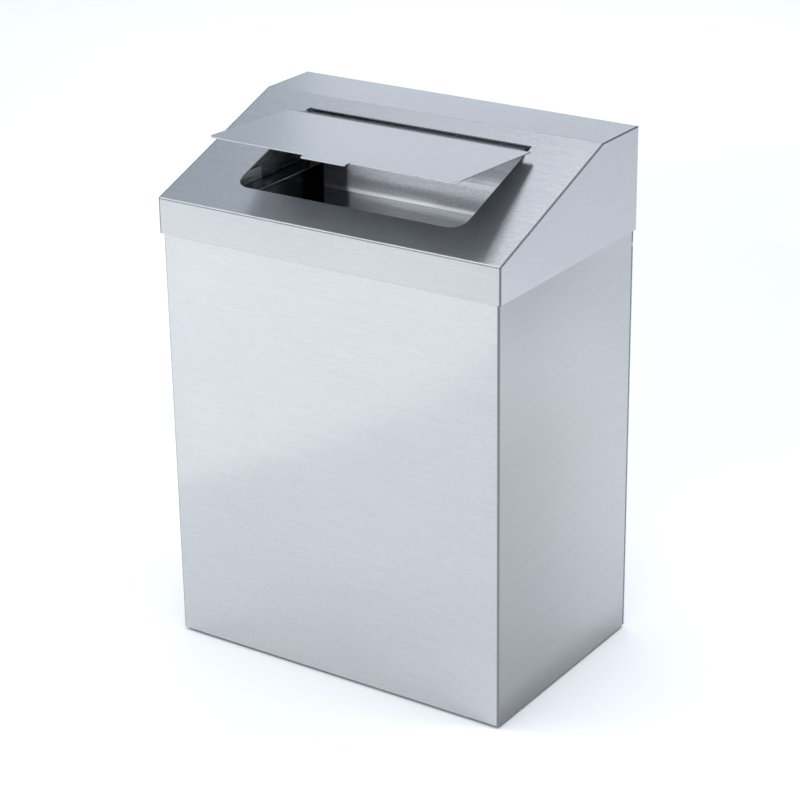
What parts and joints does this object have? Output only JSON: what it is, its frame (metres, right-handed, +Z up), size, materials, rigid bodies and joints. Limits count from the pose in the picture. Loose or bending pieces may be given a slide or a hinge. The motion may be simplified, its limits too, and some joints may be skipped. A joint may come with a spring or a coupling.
{
  "type": "dog waste bin",
  "caption": "Box-shaped brushed stainless dog waste bin with a lift-off sloping hood, a hinged throw-in flap and an inner wire ring for the bag.",
  "frame": {"origin": "bottom centre of the bin's bounding box, on the floor under the feet", "axes": "+Z up, +Y towards the back that goes to a wall, +X to the right seen from the front"},
  "size_m": [0.3, 0.193, 0.4159],
  "materials": {
    "satin_stainless": "stainless sheet brushed across its width",
    "plain_sheet": "mill-finish stainless strip and tray",
    "frame_wire": "drawn stainless wire",
    "hinge_steel": "ground stainless rod and tube",
    "foot_rubber": "black moulded rubber, matt"
  },
  "bodies": {
    "body": {"body_wrap": "satin_stainless", "back_panel": "satin_stainless", "base_pan": "plain_sheet", "mount_strip_upper": "plain_sheet", "mount_strip_lower": "plain_sheet", "rubber_feet": "foot_rubber", "bag_hook_front_left": "plain_sheet", "bag_hook_front_right": "plain_sheet", "bag_hook_rear_left": "plain_sheet", "bag_hook_rear_right": "plain_sheet"},
    "bag_ring": {"bag_frame": "frame_wire"},
    "hood": {"hood_cover": "satin_stainless", "hood_side_left": "satin_stainless", "hood_side_right": "satin_stainless", "hood_rear_panel": "satin_stainless", "rest_angle_left": "plain_sheet", "rest_angle_right": "plain_sheet", "hinge_bracket_left": "plain_sheet", "hinge_bracket_right": "plain_sheet", "hinge_rod": "hinge_steel", "rod_clips": "hinge_steel"},
    "flap": {"flap": "satin_stainless", "hinge_tube_left": "hinge_steel", "hinge_tube_right": "hinge_steel"}
  },
  "joints": [
    {"name": "hood_lift", "type": "slide", "parent": "body", "child": "hood", "axis": [0, 0, 1], "range_m": [0, 0.08]},
    {"name": "flap_hinge", "type": "hinge", "parent": "hood", "child": "flap", "pos_m": [0, 0.02663, 0.40412], "axis": [-1, 0, 0], "range_deg": [-22.5, 45]},
    {"name": "bag_frame_lift", "type": "slide", "parent": "body", "child": "bag_ring", "axis": [0, 0, 1], "range_m": [0, 0.06]}
  ]
}
